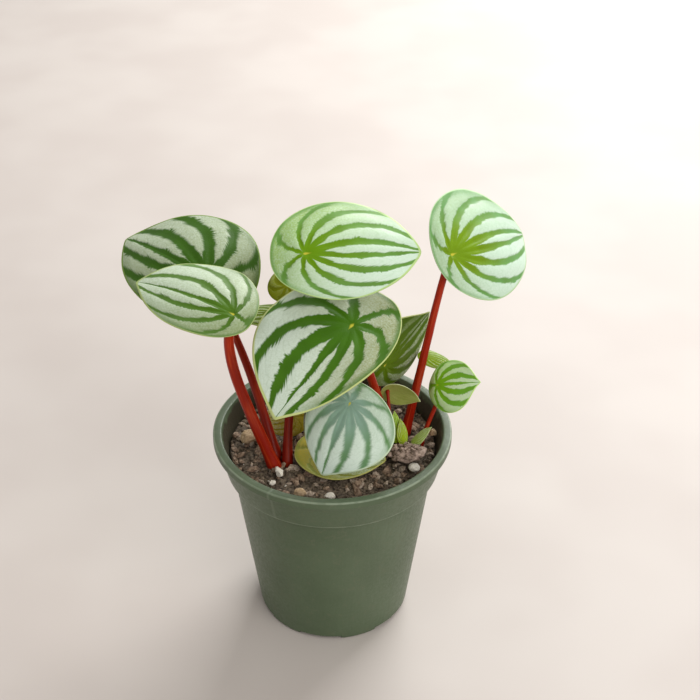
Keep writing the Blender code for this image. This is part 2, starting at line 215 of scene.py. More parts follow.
def step(value, low, high, start=0.0, end=1.0):
    """Start below the low limit, end above the high one, and smooth in between."""
    node = place(graph_of(value), "ShaderNodeMapRange", {"interpolation_type": "SMOOTHSTEP"})
    for given, socket in zip((value, low, high, start, end), node.inputs):
        feed(given, socket)
    return node.outputs[0]


def cloud(where, scale=1.0, detail=2.0, roughness=0.5):
    """Smooth random values, about 0.5, at a place on the surface."""
    return place(where.id_data, "ShaderNodeTexNoise", Vector=where, Scale=scale, Detail=detail,
                 Roughness=roughness).outputs[0]


def tone(code):
    """A colour in six digits, two each for red, green and blue, turned into linear light."""
    shares = [channel / 255.0 for channel in bytes.fromhex(code)]
    return tuple(s / 12.92 if s <= 0.04045 else ((s + 0.055) / 1.055) ** 2.4 for s in shares)

# %% Groups and materials
FLOAT = "NodeSocketFloat"


def new_group(name, inputs, outputs):
    """An empty shader node group, with named inputs, their usual values, and named outputs."""
    group = bpy.data.node_groups.new(name, "ShaderNodeTree")
    for label, usual in inputs.items():
        socket = group.interface.new_socket(label, in_out="INPUT", socket_type=FLOAT)
        socket.default_value = usual
    for label in outputs:
        group.interface.new_socket(label, in_out="OUTPUT", socket_type=FLOAT)
    start = group.nodes.new("NodeGroupInput")
    end = group.nodes.new("NodeGroupOutput")
    return group, start.outputs, end.inputs


def use_group(tree, group, **inputs):
    """Places a group in a material and returns its outputs."""
    return place(tree, "ShaderNodeGroup", {"node_tree": group}, **inputs).outputs


def new_material(name):
    """A material, the graph to add to, and the inputs of its Principled shader."""
    material = bpy.data.materials.new(name)
    material.use_nodes = True
    return material, material.node_tree, material.node_tree.nodes["Principled BSDF"].inputs


def add_bump(shader, height, distance):
    """Feeds a height to the shader's normal. The distance is in metres."""
    normal = shader["Normal"]
    bump = place(normal.id_data, "ShaderNodeBump", Strength=1.0, Distance=distance, Height=height)
    feed(bump.outputs[0], normal)


# %% [markdown]
# Nearly every surface here is uneven in two ways: broad patches and fine grain. One group makes
# both from noise, at sizes given in millimetres, and every finish uses it with its own values.

# %% The mottle group
mottle, given, result = new_group(
    "mottle", {"Patch mm": 12.0, "Grain mm": 1.0, "Detail": 3.0}, ("Patches", "Grain", "Height"))
where = place(mottle, "ShaderNodeTexCoord").outputs["Object"]
patch_scale = calc("DIVIDE", 1000.0, given["Patch mm"])
grain_scale = calc("DIVIDE", 1000.0, given["Grain mm"])
patches = cloud(where, patch_scale)
grain = cloud(where, grain_scale, given["Detail"])
feed(step(patches, 0.32, 0.68), result["Patches"])
feed(step(grain, 0.30, 0.70), result["Grain"])
feed(plus(times(patches, 0.5), grain), result["Height"])
print("group:", mottle.name)

# %% [markdown]
# The floor is a large plain sheet, pale and slightly warm, just under the pot. It belongs to
# the stage and not to the plant.

# %% Floor
bpy.ops.mesh.primitive_plane_add(size=6.0, location=(0.0, 0.0, -0.0002))
floor = bpy.context.object
floor.name = "floor"
finish, tree, shader = new_material("pale_floor")
marks = use_group(tree, mottle, Patch_mm=90.0, Grain_mm=4.0)
feed(mix(marks["Patches"], tone("C4BAB4"), tone("CAC1BB")), shader["Base Color"])
feed(0.6, shader["Roughness"])
floor.data.materials.append(finish)
floor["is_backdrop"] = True
print("floor at z", floor.location.z)

# %% [markdown]
# A leaf starts as a flat outline round the point where the stalk joins it. The outline is a
# circle stretched to the leaf's length, narrower towards the tip, with a short drip tip. Rings
# of points shrink from that outline to the stalk, and each point then falls with its distance
# from the stalk, so that the leaf is domed. The same numbers made the measured model. Here the
# rings are much closer, so the surface can also carry the furrows of the bands.

# %% The leaves' numbers
# at: where the stalk joins, mm. size: length, width, mm. back: how far along the leaf the stalk
# joins. point: how pointed. uneven: how unequal the halves are. drops: fall of the tip, back,
# left and right, mm. turn: heading, pitch and roll, degrees.
SHAPES = {
    "top_centre": ((-10.3, 0, 177.3), (58.6, 45), .24, .14, .14, (12, 3, 9, 4.5), (5, -6, 36)),
    "front": ((8.4, -18, 155.3), (70, 55.5), .32, .43, -.29, (8.6, 2, 1.2, 9), (233, 13, -13)),
    "low_front": ((7.4, -22, 120.6), (38.8, 38.4), .25, .26, .1, (9.6, 2.8, 9.6, 5.4), (230, 44, -13)),
    "left": ((-38.2, -14, 157.8), (51.4, 39.5), .15, .25, -.22, (11.3, 2, 2.4, 7), (155, -16, -17)),
    "back_left": ((-53.8, 32, 146.9), (72.7, 55), .26, .31, -.16, (17.2, 8.5, 3, 8), (141, -12, -26)),
    "right": ((48.7, 12, 169.9), (60.8, 49.4), .12, .35, .05, (24, 2, 5, 5), (35, -1, 47)),
    "small_right": ((44.3, 4, 111.3), (25.6, 22.6), .24, .47, 0, (2, 2.2, 3.5, 5.2), (-33, -26, 49)),
    "inner_right": ((22.5, 16, 112.8), (38, 28.6), .24, .68, .03, (.5, 2.5, 2.6, 3.5), (38, -35, 78)),
    "young_right": ((23.4, 4.2, 108.6), (17, 12), .16, .50, 0, (1.6, .8, 1.2, 1.2), (5, 20, -78)),
    "inner_back": ((-19.5, 36, 141), (26, 22), .30, .45, 0, (4, 1.5, 3, 3), (60, -30, 0)),
    "inner_left": ((-23, 24, 134.5), (28, 15), .30, .50, 0, (3, 1, 1.5, 1.5), (178, -4, -8)),
    "far_right": ((40.4, 21.5, 114.4), (17, 9), .22, .50, 0, (1.5, .8, .8, .8), (-12, 14, 15)),
    "under_front": ((1, -3, 112), (30, 24), .28, .45, 0, (3.5, 1.5, 3, 3), (215, 42, -10)),
    "old": ((-1.5, -12.5, 90.3), (37, 31), .39, .15, 0, (2.8, 2, 2.5, 2.5), (352, 1, 5)),
    "old_small": ((-17, 7, 92.2), (19.5, 16), .34, .30, 0, (1.5, .8, 1.2, 1.2), (190, 4, -48)),
    "sprout_a": ((27.2, -1.9, 87.3), (14, 6), .15, .60, 0, (.8, .2, .8, .8), (100, -74, 0)),
    "sprout_b": ((30.4, -3.4, 86.8), (11.5, 5), .15, .60, 0, (.8, .2, .7, .7), (110, -72, 0)),
    "sprout_c": ((34.4, -4, 87), (12, 6), .15, .50, 0, (1.4, .2, .8, .8), (5, -52, 10)),
}
SMALL = 20.0              # a leaf this long or shorter is thin
THICK, THIN = 0.9, 0.6    # of a large leaf and a small one, mm
DRIP_TIP = 2.0            # length of the drip tip, mm
DRIP_SPREAD = 0.3         # how far round the leaf it starts, radians
print(len(SHAPES), "leaves")

# %% One point of a leaf
def leaf_turn(shape):
    """The rotation that lays a leaf at its heading, pitch and roll."""
    heading, pitch, roll = (math.radians(angle) for angle in shape[6])
    return (Matrix.Rotation(heading, 3, "Z") @ Matrix.Rotation(pitch, 3, "Y")
            @ Matrix.Rotation(roll, 3, "X"))


def leaf_thickness(shape):
    """How thick a leaf is, in mm."""
    return THIN if shape[1][0] <= SMALL else THICK


def leaf_edge(shape, angle):
    """The flat outline at an angle that starts at the tip."""
    (length, width), back_share, point, uneven = shape[1:5]
    reach = length * (0.5 - back_share) + length / 2 * math.cos(angle)
    from_tip = min(angle, 2 * math.pi - angle)
    reach += DRIP_TIP * min(1.0, length / 40.0) * math.exp(-(from_tip / DRIP_SPREAD) ** 2)
    widest = 2 * math.atan(math.sqrt(1 + point))
    swell = math.sin(angle) * abs(math.sin(angle / 2)) ** point
    swell /= math.sin(widest) * math.sin(widest / 2) ** point
    side = 1 + uneven if swell > 0 else 1 - uneven
    return reach, swell * side * width / 2


def leaf_fall(shape, x, y):
    """How far the domed leaf has fallen below its stalk at a flat point."""
    (length, width), back_share, _, uneven, drops = shape[1:6]
    along = drops[0] * (x / (length * (1 - back_share))) ** 2
    if x <= 0:
        along = drops[1] * (x / (length * back_share)) ** 2
    if y > 0:
        return along + drops[2] * (y / (width / 2 * (1 + uneven))) ** 2
    return along + drops[3] * (y / (width / 2 * (1 - uneven))) ** 2


# %% [markdown]
# The bands start evenly round the stalk and sweep forward to meet at the tip, while those at
# the back run almost straight. One sum gives this: each point's angle from the tip is raised to
# a power that shrinks from 1 at the stalk to nearly 0 at the edge. Lines of one value are then
# the bands. The mesh uses the sum to press furrows, and the material uses it to paint, so the
# two always agree. A leaf that differs has its own number of bands, or its own bend.

# %% Furrows along the bands
BANDS = 10.0
FEWER_BANDS = {"left": 8.0, "small_right": 8.0, "front": 9.0}
BETWEEN_BANDS = ("top_centre", "right")         # leaves whose tip lies between two bands
SPREAD = 1.22             # above 1, the bands near the tip start wider apart
SWEEP = 2.0               # how late the bands turn forward
BEND = 0.66               # how far they turn, on most leaves
BENDS = {"back_left": 0.42, "right": 0.52, "inner_right": 0.50,
         "front": 0.50, "low_front": 0.40, "left": 0.56,
         "top_centre": 0.60, "small_right": 0.52}
FURROW, DIMPLE, PUCKER, WAVE = 0.40, 0.55, 0.38, 0.55      # on a large leaf, mm
FULL_RELIEF = 50.0        # a shorter leaf than this, in mm, has less relief


def phase_of(name):
    """Where the row of bands starts: 0.5 puts the middle of a band on the tip."""
    return 0.0 if name in BETWEEN_BANDS else 0.5


def band_offset(name, angle, share):
    """How far a point is from the middle of its band: 0 in the middle, 1 between two."""
    bend, bands = BENDS.get(name, BEND), FEWER_BANDS.get(name, BANDS)
    from_tip = max(1e-4, min(angle, 2 * math.pi - angle) / math.pi)
    row_place = from_tip ** (SPREAD * (1 - bend * share ** SWEEP)) * bands / 2 + phase_of(name)
    return abs(row_place - math.floor(row_place) - 0.5) * 2


def leaf_relief(name, shape, angle, share):
    """Height in mm of the furrows, the dimple over the stalk, and a slight waviness."""
    size = min(1.0, shape[1][0] / FULL_RELIEF) ** 1.5
    fade = max(0.0, min(1.0, (share - 0.08) / 0.2)) * max(0.0, min(1.0, (0.97 - share) / 0.15))
    offset = band_offset(name, angle, share)
    furrow = -FURROW * size * fade * math.exp(-(offset / 0.45) ** 2)
    dimple = -DIMPLE * size * math.exp(-(share / 0.06) ** 2)
    x, y = leaf_edge(shape, angle)
    pucker = PUCKER * size * share * noise(Vector((x * share / 9.0, y * share / 9.0, shape[0][0])))
    wave = WAVE * size * share ** 4 * math.sin(5 * angle + shape[0][1])
    return furrow + dimple + pucker + wave


# %% [markdown]
# The leaf mesh has an upper skin, a rounded edge and an under skin, joined into one closed
# shell. Every point also gets a flat map coordinate: how far round the leaf it is, and how far
# out. The paint needs both.

# %% A closed shell through rings of points
def loft(name, rings, maps, slots, materials):
    """A closed shell through rings of points; the first and last rings are single points."""
    shell = bmesh.new()
    layer = shell.loops.layers.uv.new("leaf_map")
    made = [[shell.verts.new(point) for point in ring] for ring in rings]
    for row, (lower, upper) in enumerate(zip(made, made[1:])):
        count = max(len(lower), len(upper))
        for k in range(count):
            n = (k + 1) % count
            corners = [(lower[k % len(lower)], k, row), (upper[k % len(upper)], k, row + 1)]
            if len(upper) > 1:
                corners.append((upper[n], k + 1, row + 1))
            if len(lower) > 1:
                corners.append((lower[n], k + 1, row))
            face = shell.faces.new([corner[0] for corner in corners])
            face.smooth = True
            face.material_index = slots[row]
            for loop, (_, around, level) in zip(face.loops, corners):
                loop[layer].uv = (around / count, maps[level])
    bmesh.ops.recalc_face_normals(shell, faces=shell.faces)
    return from_shell(name, shell, materials)


# %% Build one leaf
FLAT = 0.965              # the flat part of each skin ends here, as a share of the way out
EDGE_START = 0.985        # the rounded edge starts here, and the furrows end
EDGE_TURN = ((EDGE_START, 0.02), (0.998, -0.22), (1.0, -0.5), (0.998, -0.78), (EDGE_START, -1.0))


def build_leaf(name, shape, materials):
    """One closed leaf in its place."""
    spokes, rows = (144, 26) if shape[1][0] > 30 else (96, 16)
    thick = leaf_thickness(shape)
    levels = [(0.0, 0.0)]
    levels += [(FLAT * row / rows, 0.0) for row in range(1, rows + 1)]
    levels += list(EDGE_TURN)
    levels += [(FLAT * row / rows, -1.0) for row in range(rows, 0, -1)]
    levels += [(0.0, -1.0)]
    turn = leaf_turn(shape)
    seat = Vector(shape[0])
    rings = []
    for share, depth in levels:
        ring = []
        for k in range(spokes if share > 0 else 1):
            angle = 2 * math.pi * k / spokes
            x, y = leaf_edge(shape, angle)
            relief = leaf_relief(name, shape, angle, min(share, EDGE_START))
            relief *= 1.0 if depth > -0.5 else 0.6
            fall = leaf_fall(shape, x * share, y * share)
            z = depth * thick * (1 - 0.5 * share ** 4) + relief - fall
            ring.append((seat + turn @ Vector((x * share, y * share, z))) * MM)
        rings.append(ring)
    maps = [1.0 if 0 > depth > -1 else share for share, depth in levels]
    slots = [0 if depth > -0.9 else 1 for _, depth in levels[:-1]]
    return loft("leaf_" + name, rings, maps, slots, materials)


# %% [markdown]
# The paint of a leaf is one group. From the map coordinate it works out which band a point is
# in and how far from the middle it is. Side veins make the edge of each band feathery, so noise
# stretched along the band moves that edge in and out. Near the stalk the bands widen until they
# meet in a solid green star. The group also gives the pale edge, the small yellow spot over the
# stalk, the speckle of the silver (really air under a clear skin), the net of fine veins, and a
# mask for the painted sheen, which grows towards the side of the leaf that catches the light.

# %% The leaf pattern group: where a point is on the leaf
pattern, given, result = new_group(
    "leaf_pattern",
    {"Phase": 0.0, "Width": 0.4, "Star": 0.2, "Feather": 0.3, "Seed": 0.0, "Speckle mm": 0.7,
     "Margin": EDGE_START, "Bend": BEND, "Bands": BANDS, "Pale side": 0.0, "Soft": 0.1},
    ("Green", "Vein", "Margin", "Spot", "Speckle", "Out", "Net", "Sheen side", "Height"))
leaf_map = place(pattern, "ShaderNodeUVMap", {"uv_map": "leaf_map"}).outputs[0]
around, out = place(pattern, "ShaderNodeSeparateXYZ", Vector=leaf_map).outputs[0:2]
from_tip = minus(1.0, calc("ABSOLUTE", minus(times(around, 2.0), 1.0)))
from_tip = calc("MAXIMUM", from_tip, 1e-4)
side = calc("GREATER_THAN", around, 0.5)
bend = times(calc("POWER", out, SWEEP), given["Bend"])
swept = calc("POWER", from_tip, times(minus(1.0, bend), SPREAD))
row_place = plus(times(swept, times(given["Bands"], 0.5)), given["Phase"])
band = calc("FLOOR", row_place)
in_band = minus(minus(row_place, band), 0.5)
offset = times(calc("ABSOLUTE", in_band), 2.0)
feed(out, result["Out"])

# %% The leaf pattern group: feathery bands and the star
own = plus(plus(times(band, 5.3), times(side, 17.1)),
           plus(given["Seed"], times(calc("SIGN", in_band), 31.0)))
slow_at = place(pattern, "ShaderNodeCombineXYZ", X=times(out, 7.0), Y=own).outputs[0]
slow = cloud(slow_at)
along = minus(times(out, 27.0), times(offset, 2.2))
tooth = calc("FRACT", plus(along, times(slow, 4.0)))
fine_at = place(pattern, "ShaderNodeCombineXYZ", X=times(along, 2.2), Y=own).outputs[0]
fine = cloud(fine_at, 1.0, 3.0, 0.7)
toothed = times(tooth, step(slow, 0.40, 0.66), 0.8)
frayed = times(plus(toothed, minus(fine, 0.5)), given["Feather"])
star = step(calc("DIVIDE", out, given["Star"]), 0.4, 2.0, 1.0, 0.0)
thin_back = step(swept, 0.35, 0.95, 1.0, 0.58)
thin_out = step(out, 0.30, 1.0, 1.0, 0.62)
wide = times(given["Width"], thin_back, thin_out)
reach = plus(wide, times(star, 0.75), times(minus(slow, 0.5), 0.45))
over = minus(minus(offset, frayed), reach)
feed(step(over, times(given["Soft"], -1.0), given["Soft"], 1.0, 0.0), result["Green"])

# %% The leaf pattern group: veins, edge, spot and speckle
feed(step(offset, 0.0, 0.16, 1.0, 0.0), result["Vein"])
feed(step(out, minus(given["Margin"], 0.012), given["Margin"]), result["Margin"])
sideways = times(from_tip, minus(1.0, from_tip), 5.0)
feed(step(times(out, plus(sideways, 1.0)), 0.02, 0.075, 1.0, 0.0), result["Spot"])
where = place(pattern, "ShaderNodeTexCoord").outputs["Object"]
cells = cloud(where, calc("DIVIDE", 1000.0, given["Speckle mm"]), 3.0, 0.7)
feed(step(cells, 0.30, 0.72), result["Speckle"])
# Painted sheen: a mask that rises towards the side of the leaf at its sheen heading.
sheen_turn = times(minus(around, given["Pale side"]), 2 * math.pi)
feed(step(times(calc("COSINE", sheen_turn), out), -0.9, 0.9), result["Sheen side"])
net_at = place(pattern, "ShaderNodeCombineXYZ", X=times(along, 0.55),
               Y=times(row_place, 1.7)).outputs[0]
net = place(pattern, "ShaderNodeTexVoronoi", {"feature": "DISTANCE_TO_EDGE"}, Vector=net_at,
            Scale=1.0).outputs[0]
feed(step(net, 0.0, 0.07, 1.0, 0.0), result["Net"])
raised = times(step(over, -0.1, 0.15), 0.6)
feed(plus(times(cells, 0.7), raised), result["Height"])
print("group:", pattern.name)

# %% [markdown]
# Each leaf gets its own material, because no two are the same age or catch the same light. The
# young ones are lime green with near-white bands, and the oldest are dark. On each large leaf a
# painted sheen makes the silver paler towards one side, and the edge on the far side stays green.
# A leaf's skin is smooth but not glossy, and its silver bands shine a little more than the green ones.

# %% Leaf materials
LOOKS = {
    # band width, star, feather; inner green, outer green (paler and bluer on some leaves, partly as
    # painted sheen), silver, bright silver under the painted sheen (on the old leaf, its greener
    # side), edge
    "top_centre": (.44, .17, .26, "689400", "689846", "92B454", "CCE4CC", "BAD68C"),
    "front": (.50, .25, .34, "3E6C00", "406C0A", "8A905C", "C6D4C0", "BEC882"),
    "low_front": (.38, .36, .20, "8CAC9A", "5E8A50", "A8BEA6", "D6E8DA", "C8DABC"),
    "left": (.40, .20, .26, "4A7012", "587C34", "869664", "B4C4A4", "A8BA74"),
    "back_left": (.56, .24, .36, "366000", "366000", "849260", "A4B28C", "708E34"),
    "right": (.42, .25, .26, "749800", "689C58", "A0BE8C", "C4DEC8", "B4D4A0"),
    "small_right": (.60, .18, .24, "82C01E", "7ABA3A", "BCE68C", "D8F6BE", "C4E88C"),
    "inner_right": (.80, .26, .30, "5C780A", "506E0E", "5E7824", "788E4C", "C4CC8C"),
    "young_right": (.50, .20, .30, "929E3C", "849032", "AEB870", "BEC682", "D6DCB0"),
    "inner_back": (.70, .20, .30, "889200", "808C00", "929E0E", "9CA624", "9EA824"),
    "inner_left": (.60, .24, .36, "6E861E", "68801E", "8C9E42", "9AAA5A", "A8B65A"),
    "far_right": (.80, .20, .36, "809C04", "7A9804", "84A008", "8AA410", "9EB432"),
    "under_front": (.70, .30, .36, "384E12", "42561A", "5C6E54", "6E7E6A", "A4AE82"),
    "old": (.30, .20, .36, "969234", "848C3A", "B09E34", "84944C", "B8B668"),
    "old_small": (.20, .10, .36, "AC9E22", "A0961A", "B2A424", "B8A82C", "BEB246"),
    "sprout_a": (.70, .20, .30, "9EC818", "96C214", "A8CE28", "B0D234", "C0DA5A"),
    "sprout_b": (.70, .20, .30, "A6C024", "9CB81E", "AEC432", "B6CA42", "C2D464"),
    "sprout_c": (.70, .20, .30, "AAC460", "9CBA50", "B4CA6C", "BED27C", "C8D896"),
}
# Where the painted sheen lies round each leaf, as a share of the way round from the tip.
SHEEN_HEADINGS = {"top_centre": .90, "front": .86, "low_front": .02,
              "left": .93, "back_left": .90, "right": .90,
              "small_right": .95, "inner_right": .80}
SOFT_BANDS = {"low_front": 0.24, "back_left": 0.16, "inner_right": 0.20}
GLINT = tone("E0ECE2")
SPOT = tone("C8C03C")


def leaf_material(name, seed, look):
    """The upper side of one leaf."""
    width, star_size, feather = look[:3]
    inner, outer, silver, bright, edge = (tone(code) for code in look[3:])
    material, tree, shader = new_material("blade_" + name + "_top")
    marks = use_group(tree, pattern, Phase=phase_of(name), Width=width, Star=star_size,
                      Feather=feather, Seed=seed, Bend=BENDS.get(name, BEND),
                      Bands=FEWER_BANDS.get(name, BANDS), Pale_side=SHEEN_HEADINGS.get(name, 0.0),
                      Soft=SOFT_BANDS.get(name, 0.1))
    patch = use_group(tree, mottle, Patch_mm=9.0, Grain_mm=0.6)
    # The green turns to the outer green towards the edge; on some leaves its paler, bluer tint is
    # partly painted sheen.
    leafy = mix(step(marks["Out"], 0.25, 0.85), inner, outer)
    darker = tuple(channel * 0.62 for channel in inner)
    leafy = mix(times(patch["Patches"], 0.35), leafy, darker)
    # Painted sheen: towards the sheen side the silver turns to the bright silver and its speckle to a
    # near-white glint.
    sheen = mix(marks["Sheen side"], silver, bright)
    glint = mix(marks["Sheen side"], bright, GLINT)
    pale = mix(times(marks["Speckle"], 0.50), sheen, glint)
    pale = mix(times(marks["Net"], 0.10), pale, outer)
    far_edge = times(minus(1.0, marks["Sheen side"]), step(marks["Out"], 0.84, 0.97, 0.0, 0.8))
    pale = mix(far_edge, pale, outer)
    colour = mix(marks["Green"], pale, leafy)
    colour = mix(marks["Spot"], colour, SPOT)
    feed(mix(marks["Margin"], colour, edge), shader["Base Color"])
    feed(step(marks["Green"], 0.0, 1.0, 0.36, 0.46), shader["Roughness"])
    feed(0.16, shader["Specular IOR Level"])
    feed(step(marks["Green"], 0.0, 1.0, 0.10, 0.0), shader["Coat Weight"])
    feed(0.35, shader["Coat Roughness"])
    add_bump(shader, marks["Height"], 0.00014)
    return material


def under_material(name, first, second):
    """The plain underside of the leaves, with its paler raised veins."""
    material, tree, shader = new_material(name)
    marks = use_group(tree, pattern, Phase=0.5, Width=0.1, Star=0.05, Feather=0.1)
    patch = use_group(tree, mottle, Patch_mm=10.0, Grain_mm=0.8)
    colour = mix(patch["Patches"], first, second)
    colour = mix(times(marks["Vein"], 0.5), colour, tone("B0B26E"))
    feed(mix(marks["Margin"], colour, tone("BEC482")), shader["Base Color"])
    feed(step(patch["Grain"], 0.0, 1.0, 0.42, 0.54), shader["Roughness"])
    add_bump(shader, patch["Height"], 0.00010)
    return material


green_under = under_material("leaf_underside", tone("8C9844"), tone("9CA456"))
old_under = under_material("old_leaf_underside", tone("A0923C"), tone("8C7C30"))
print(len(LOOKS), "upper sides to paint, and", green_under.name, "and", old_under.name)


def seat_gap(piece, node):
    """How far the middle of a piece is from the middle of its measured node, in mm."""
    corners = [piece.matrix_world @ Vector(corner) for corner in piece.bound_box]
    low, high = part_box(node)
    middle = sum(corners, Vector()) / 8
    return (middle - (Vector(low) + Vector(high)) / 2).length / MM


for seed, (own_name, shape) in enumerate(SHAPES.items()):
    name = "blade_" + own_name
    top = leaf_material(own_name, seed * 3.7, LOOKS[own_name])
    leaf = build_leaf(own_name, shape, [top, old_under if "old" in name else green_under])
    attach(leaf, "root")
    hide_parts(name)
    say(leaf)
    print("    off its place by", round(seat_gap(leaf, name), 2), "mm")

# %% [markdown]
# A stalk is a juicy red rod that leaves the soil at a slant and bends to meet its leaf. It
# follows a cubic curve between those two directions. It starts a little under the soil and ends
# just inside the leaf, it swells at both ends, and it is slightly uneven along its length.

# %% The stalks' numbers
# foot (x, y), the way it leaves the soil, the way it meets the leaf, foot and head radius, and
# how far it keeps those two directions, all in mm. A stalk has the name of its leaf.
STALKS = {
    "stalk_top_centre": ((-19, -13), (.02, .55, 1), (-.04, -.70, .75), (2.0, 1.5), (44, 32)),
    "stalk_front": ((25, 4.6), (-.26, -.15, 1), (-.28, -.30, 1), (2.2, 1.5), (34, 20)),
    "stalk_low_front": ((23, -1.8), (-.5, -.3, 1), (-.3, -.6, .7), (1.3, 1.0), (12, 10)),
    "stalk_left": ((-24.6, -16.5), (-.36, .12, 1), (.37, -.35, .92), (2.6, 2.0), (30, 24)),
    "stalk_back_left": ((-24, -9.5), (-.26, .30, 1), (-.5, .05, 1), (2.3, 1.4), (28, 26)),
    "stalk_right": ((31.5, 7), (.21, .05, 1), (.25, .02, 1), (2.1, 1.4), (30, 26)),
    "stalk_small_right": ((38.3, -1), (.15, .1, 1), (-.25, -.25, .93), (1.0, .8), (9, 8)),
    "stalk_inner_right": ((22, 16), (-.25, .45, 1), (.5, -.7, .55), (1.4, 1.0), (9, 8)),
    "stalk_young_right": ((25, -6.4), (-.05, .15, 1), (-.1, .75, .75), (.9, .7), (7, 6)),
    "stalk_inner_back": ((-8, 7.5), (-.05, .35, 1), (-.1, .3, 1), (1.6, 1.1), (24, 18)),
    "stalk_inner_left": ((-17.5, 17.5), (-.05, .1, 1), (-.25, .15, 1), (1.4, 1.0), (20, 14)),
    "stalk_far_right": ((31.8, 13.2), (.25, .35, 1), (.3, .4, 1), (1.0, .8), (9, 7)),
    "stalk_under_front": ((-2, 9), (.05, -.2, 1), (-.2, -.5, .85), (1.2, .9), (9, 8)),
}
SOIL_TOP = 83.0
SOIL_BUMP = 1.1
ROOTED = 3.0              # how far a stalk goes on down into the soil
UNDER_LEAF = 0.45         # from the leaf's underside to the end of the measured stalk

# %% Build one stalk
def stalk_line(shape, foot, lean, meet, reach):
    """The four control points of a stalk's curve, in mm."""
    up = leaf_turn(shape) @ Vector((0, 0, 1))
    start = Vector((*foot, SOIL_TOP + SOIL_BUMP + 0.6))
    end = Vector(shape[0]) - up * (leaf_thickness(shape) + UNDER_LEAF)
    leaving = start + Vector(lean).normalized() * reach[0]
    return start, leaving, end - Vector(meet).normalized() * reach[1], end


def on_curve(line, share):
    """A point on the cubic curve through its four control points."""
    a, b, c, d = line
    rest = 1 - share
    return a * rest ** 3 + 3 * b * share * rest ** 2 + 3 * c * share ** 2 * rest + d * share ** 3


def build_stalk(name, numbers, material):
    """A round tapered rod along its curve, closed at both ends."""
    foot, lean, meet, (foot_radius, head_radius), reach = numbers
    shape = SHAPES[name.removeprefix("stalk_")]
    line = stalk_line(shape, foot, lean, meet, reach)
    up = leaf_turn(shape) @ Vector((0, 0, 1))
    steps, sides = 56, 20
    side = (line[1] - line[0]).orthogonal().normalized()
    spine = [(line[0] - Vector(lean).normalized() * ROOTED, line[1] - line[0], 0.0)]
    for step_number in range(steps + 1):
        share = step_number / steps
        ahead = on_curve(line, min(1, share + 0.01)) - on_curve(line, max(0, share - 0.01))
        spine.append((on_curve(line, share), ahead, share))
    into_leaf = up * (UNDER_LEAF + 0.3 * leaf_thickness(shape))
    spine.append((line[3] + into_leaf, up, 1.0))
    rings = [[spine[0][0] * MM]]
    for centre, ahead, share in spine:
        ahead = ahead.normalized()
        side = (side - ahead * side.dot(ahead)).normalized()
        across = ahead.cross(side)
        radius = foot_radius + (head_radius - foot_radius) * share ** 0.7
        foot_swell = 0.22 * math.exp(-(share / 0.05) ** 2)
        radius *= 1 + foot_swell + 0.25 * math.exp(-((1 - share) / 0.025) ** 2)
        ring = []
        for k in range(sides):
            angle = 2 * math.pi * k / sides
            out = side * math.cos(angle) + across * math.sin(angle)
            uneven = 1 + 0.07 * noise(centre * 0.14 + out * 0.6)
            ring.append((centre + out * radius * uneven) * MM)
        rings.append(ring)
    rings.append([spine[-1][0] * MM])
    maps = [0.0] + [item[2] for item in spine] + [1.0]
    return loft(name + "_skin", rings, maps, [0] * (len(rings) - 1), [material])


# %% Stalk material
def stalk_material(name, low_colour, high_colour, streak):
    """Red skin with paler streaks along it, brighter towards the leaf."""
    material, tree, shader = new_material(name)
    skin_map = place(tree, "ShaderNodeUVMap", {"uv_map": "leaf_map"}).outputs[0]
    around, up = place(tree, "ShaderNodeSeparateXYZ", Vector=skin_map).outputs[0:2]
    patch = use_group(tree, mottle, Patch_mm=7.0, Grain_mm=0.5)
    lengthwise = place(tree, "ShaderNodeCombineXYZ", X=times(around, 14.0),
                       Y=times(up, 5.0)).outputs[0]
    streaks = cloud(lengthwise)
    colour = mix(step(up, 0.1, 1.0), low_colour, high_colour)
    colour = mix(step(streaks, 0.45, 0.75, 0.0, 0.55), colour, streak)
    feed(mix(times(patch["Patches"], 0.35), colour, low_colour), shader["Base Color"])
    feed(step(patch["Grain"], 0.0, 1.0, 0.28, 0.42), shader["Roughness"])
    feed(0.14, shader["Specular IOR Level"])
    feed(0.06, shader["Coat Weight"])
    feed(0.25, shader["Coat Roughness"])
    add_bump(shader, patch["Height"], 0.00008)
    return material


# The stalks inside the plant get a darker copy of the red as painted shade; the outer stalks and the
# crowns get the lit copy.
lit_red = stalk_material("stalk_lit_red", tone("8C1804"), tone("B02C0E"), tone("C85028"))
shaded_red = stalk_material("stalk_shaded_red", tone("781404"), tone("98240C"), tone("B04020"))
print("stalk finishes:", lit_red.name, shaded_red.name)

# %% Put the stalks in place
# The stalks that take the lit red; the rest take the darker red of painted shade.
LIT_STALKS = ("stalk_left", "stalk_front", "stalk_small_right", "stalk_right")
for name, numbers in STALKS.items():
    stalk = build_stalk(name, numbers, lit_red if name in LIT_STALKS else shaded_red)
    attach(stalk, "root")
    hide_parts(name)
    say(stalk)

# %% [markdown]
# The stalks grow from two short crowns at the soil. A crown is a blunt knob with the bases of
# old stalks round it, so it is a small dome with rounded ribs.

# %% Crowns
CROWNS = {"crown_left": 7, "crown_right": 6}    # how many ribs each has
CROWN_SUNK = 2.0          # how far a crown goes on down into the soil, mm


